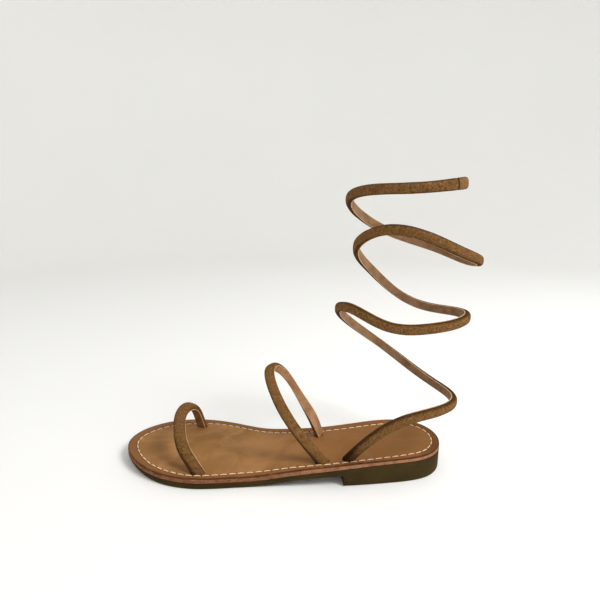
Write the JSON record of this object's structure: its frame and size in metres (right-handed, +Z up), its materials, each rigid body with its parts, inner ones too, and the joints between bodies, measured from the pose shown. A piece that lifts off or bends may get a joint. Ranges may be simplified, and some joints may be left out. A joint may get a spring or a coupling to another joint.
{
  "type": "gladiator sandal",
  "caption": "Flat open sandal for the left foot: leather and rubber sole with a low heel, arched foot straps, and a wired strap that spirals up round the ankle.",
  "frame": {"origin": "on the floor under the middle of the heel, at the middle of the heel's flat base", "axes": "+X along the sole towards the toe, +Y to the wearer's left, which is this left shoe's outer side, +Z up"},
  "size_m": [0.2677, 0.0968, 0.2149],
  "materials": {
    "rubber_sole": "matt olive-brown moulded rubber",
    "raw_leather": "raw pinkish cut edge",
    "tan_leather": "smooth vegetable-tanned leather with a dark burnished rim and cream stitching",
    "suede": "brown suede outside, smooth pinkish lining inside"
  },
  "bodies": {
    "root": {"outsole": "rubber_sole", "midsole": "raw_leather", "insole": "tan_leather", "toe_strap": "suede", "instep_strap": "suede", "ankle_wrap": "suede"}
  },
  "joints": []
}
